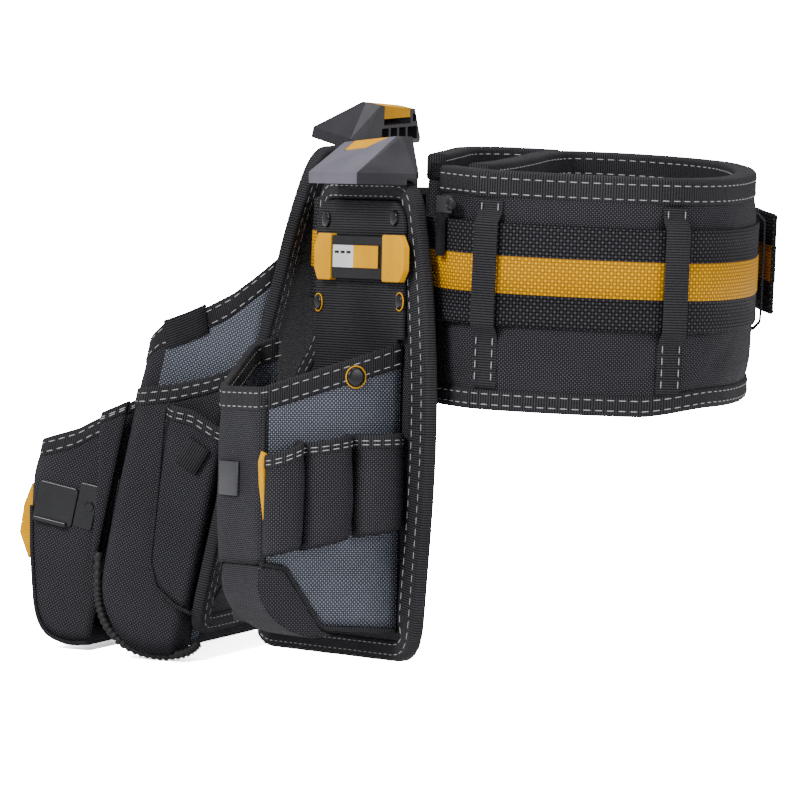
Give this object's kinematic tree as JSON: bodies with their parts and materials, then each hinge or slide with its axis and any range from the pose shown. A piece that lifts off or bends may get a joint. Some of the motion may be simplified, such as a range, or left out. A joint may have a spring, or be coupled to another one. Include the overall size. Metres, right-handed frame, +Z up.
{
  "type": "tool belt",
  "caption": "Padded tool belt lying closed in a loop, with a webbing strap, buckle, and lift-off clip-on pouches carrying open tool compartments and pockets.",
  "frame": {"origin": "middle of the waist loop, at half the height of the webbing strap", "axes": "+X across the loop towards the side opposite the pouches, +Y across the loop away from the near pouch's side, +Z up as worn"},
  "size_m": [0.4716, 0.4864, 0.358],
  "materials": {
    "webbing": "coarse diagonal webbing weave, slight sheen",
    "yellow_weave": "woven yellow stripe",
    "binding_tape": "ribbed binding tape with white stitching",
    "ballistic_nylon": "basket-weave ballistic nylon, matt",
    "grey_mesh_fabric": "blue-grey woven mesh fabric",
    "black_metal": "black coated steel, satin",
    "yellow_plastic": "satin moulded yellow plastic",
    "white_plastic": "satin white plastic",
    "grey_plastic": "fine-textured dark grey plastic",
    "black_plastic": "fine-textured black plastic",
    "tag_rubber": "flexible dark grey tag, plain",
    "bumper_rubber": "ribbed black rubber"
  },
  "bodies": {
    "belt": {"waist_strap": "webbing", "strap_stripe": "yellow_weave", "lumbar_pad": "ballistic_nylon", "lumbar_pad_top_binding": "binding_tape", "lumbar_pad_low_binding": "binding_tape", "wing_pad": "ballistic_nylon", "wing_pad_top_binding": "binding_tape", "wing_pad_low_binding": "binding_tape", "belt_loop_1": "webbing", "belt_loop_2": "webbing", "belt_loop_3": "webbing", "belt_loop_4": "webbing", "belt_loop_5": "webbing", "strap_tail": "webbing", "tail_stripe": "yellow_weave", "buckle_frame": "black_metal", "near_strap_clip": "black_plastic", "rail_end": "black_plastic", "far_strap_clip": "black_plastic"},
    "near_pouch": {"near_panel": "ballistic_nylon", "near_edge_binding": "binding_tape", "near_tower": "webbing", "near_rivet_1": "black_metal", "near_rivet_2": "black_metal", "near_rivet_3": "black_metal", "near_rivet_4": "black_metal", "near_badge": "black_plastic", "near_badge_cap_1": "yellow_plastic", "near_badge_cap_2": "yellow_plastic", "near_badge_plate_yellow": "yellow_plastic", "near_badge_plate_white": "white_plastic", "near_hood": "grey_plastic", "near_bag": "grey_mesh_fabric", "near_bag_binding": "binding_tape", "near_base_cup": "ballistic_nylon", "near_snap": "black_metal", "near_tool_tube_1": "ballistic_nylon", "near_tool_tube_2": "ballistic_nylon", "near_tool_tube_3": "ballistic_nylon", "near_tag": "tag_rubber"},
    "far_pouch": {"far_panel": "ballistic_nylon", "far_edge_binding": "binding_tape", "far_hood": "grey_plastic", "far_bag": "grey_mesh_fabric", "far_bag_binding": "binding_tape", "far_side_pocket": "ballistic_nylon", "far_side_pocket_binding": "binding_tape", "far_slant_pocket": "ballistic_nylon", "far_slant_pocket_binding": "binding_tape", "far_pocket_tab": "webbing", "far_knife_pocket": "ballistic_nylon", "far_tape_pocket": "ballistic_nylon", "far_tape_pocket_binding": "binding_tape", "far_tape_clip": "black_metal", "far_tape_clip_strap": "black_metal", "far_tape_hook": "yellow_plastic", "far_bumper": "bumper_rubber"},
    "near_lever": {"near_release_lever": "yellow_plastic"},
    "far_lever": {"far_release_lever": "yellow_plastic"},
    "buckle_lever": {"buckle_lever": "black_metal"}
  },
  "joints": [
    {"name": "near_pouch_lift", "type": "slide", "parent": "belt", "child": "near_pouch", "axis": [-0.0229, 0.047, 0.9986], "range_m": [0, 0.07]},
    {"name": "far_pouch_lift", "type": "slide", "parent": "belt", "child": "far_pouch", "axis": [0, 0, 1], "range_m": [0, 0.07]},
    {"name": "near_lever_press", "type": "slide", "parent": "near_pouch", "child": "near_lever", "axis": [0.0229, -0.047, -0.9986], "range_m": [0, 0.003], "stiffness_N_per_m": 600},
    {"name": "far_lever_press", "type": "slide", "parent": "far_pouch", "child": "far_lever", "axis": [-0.1655, 0.0525, -0.9848], "range_m": [0, 0.003], "stiffness_N_per_m": 600},
    {"name": "buckle_lever_hinge", "type": "hinge", "parent": "belt", "child": "buckle_lever", "pos_m": [0.01261, 0.20328, 0], "axis": [0, 0, 1], "range_deg": [0, 70]}
  ]
}
